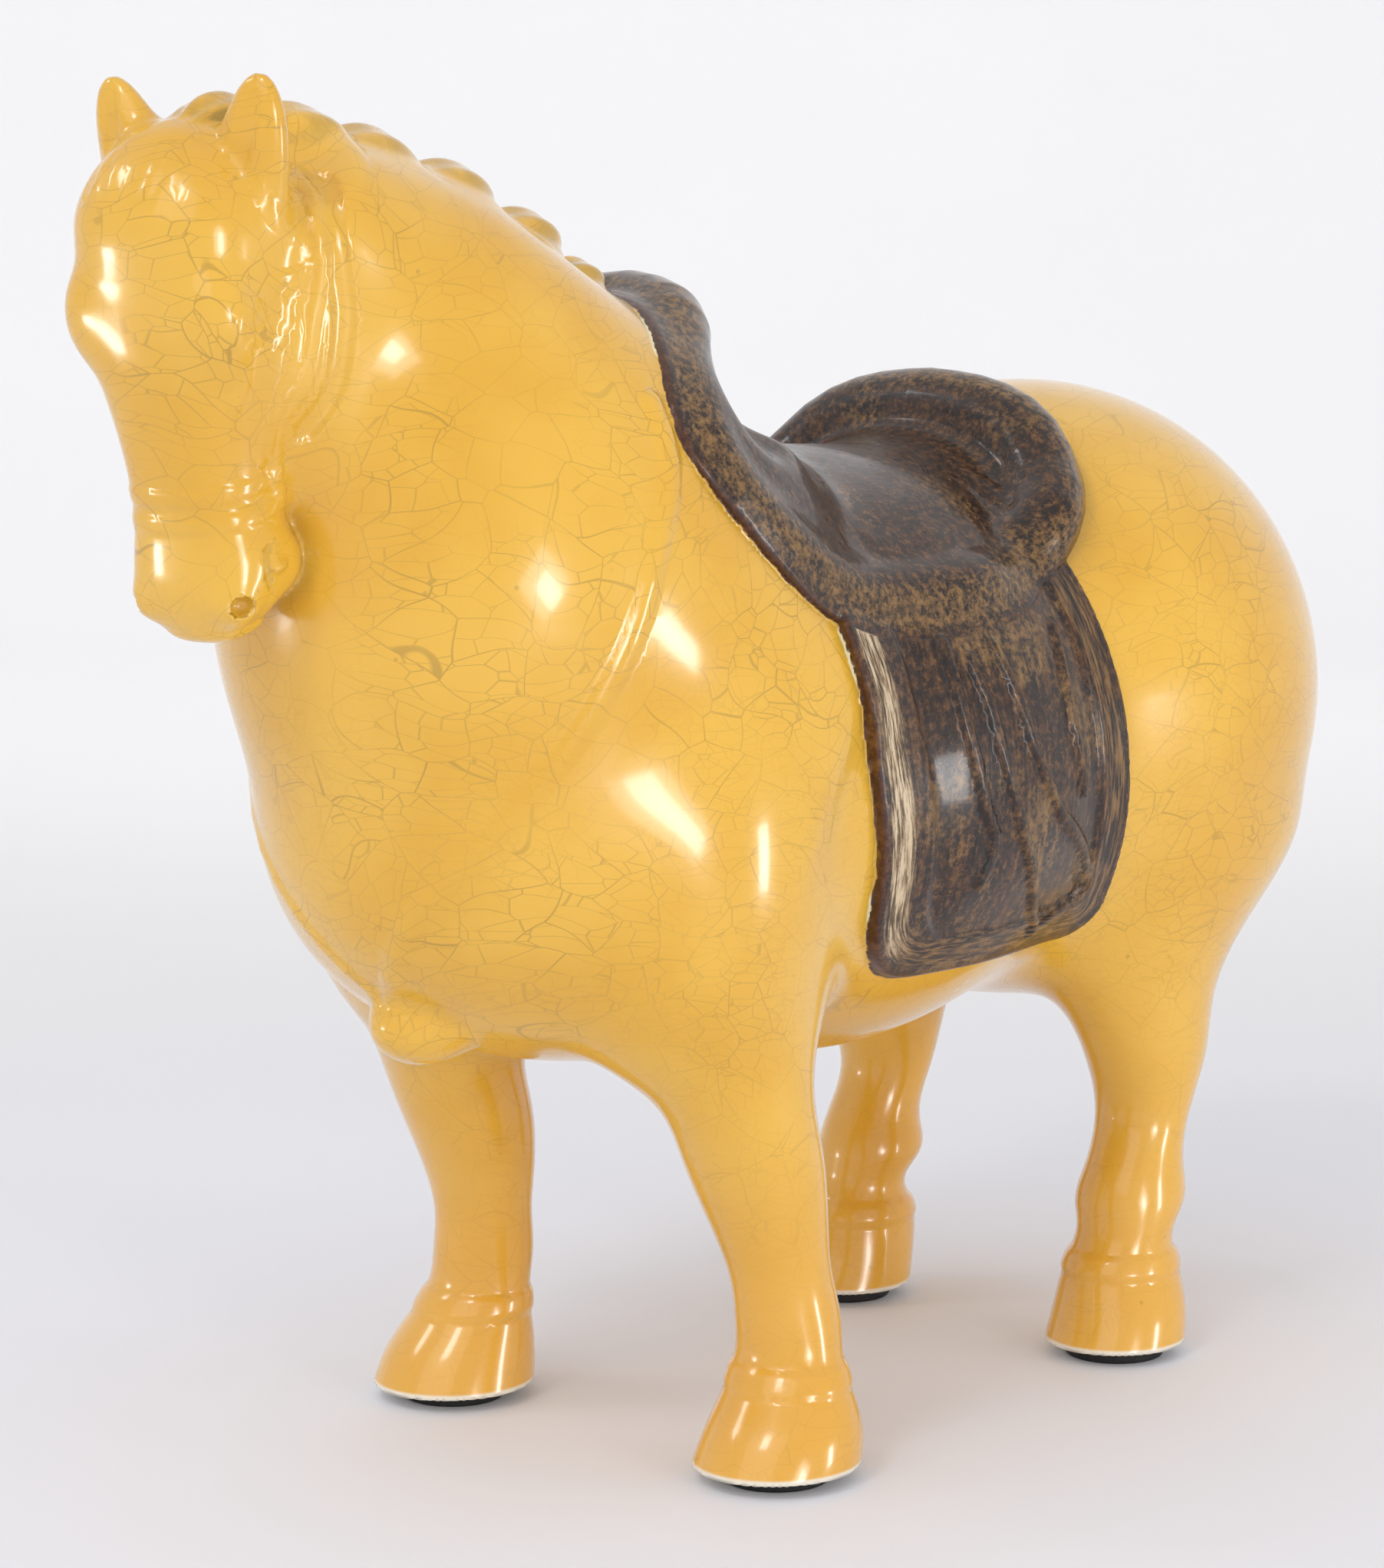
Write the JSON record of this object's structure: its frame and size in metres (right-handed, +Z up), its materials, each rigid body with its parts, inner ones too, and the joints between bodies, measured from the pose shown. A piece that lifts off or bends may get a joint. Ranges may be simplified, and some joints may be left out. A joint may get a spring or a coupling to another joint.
{
  "type": "horse sculpture",
  "caption": "Glazed porcelain horse sculpture: stout standing horse with plaited mane, bridle and breast strap in relief, brown saddle with side flaps, and round pads under the hooves",
  "frame": {"origin": "middle of the bounding box on the plane the pads stand on", "axes": "+X is the horse's left, -Y is the way the horse faces, +Z is up"},
  "size_m": [0.1508, 0.3958, 0.3203],
  "materials": {
    "glaze": "gloss crackle glaze, with the saddle and flaps painted brown",
    "pad_rubber": "matt"
  },
  "bodies": {
    "root": {"horse": "glaze", "pad_front_left": "pad_rubber", "pad_front_right": "pad_rubber", "pad_hind_left": "pad_rubber", "pad_hind_right": "pad_rubber"}
  },
  "joints": []
}
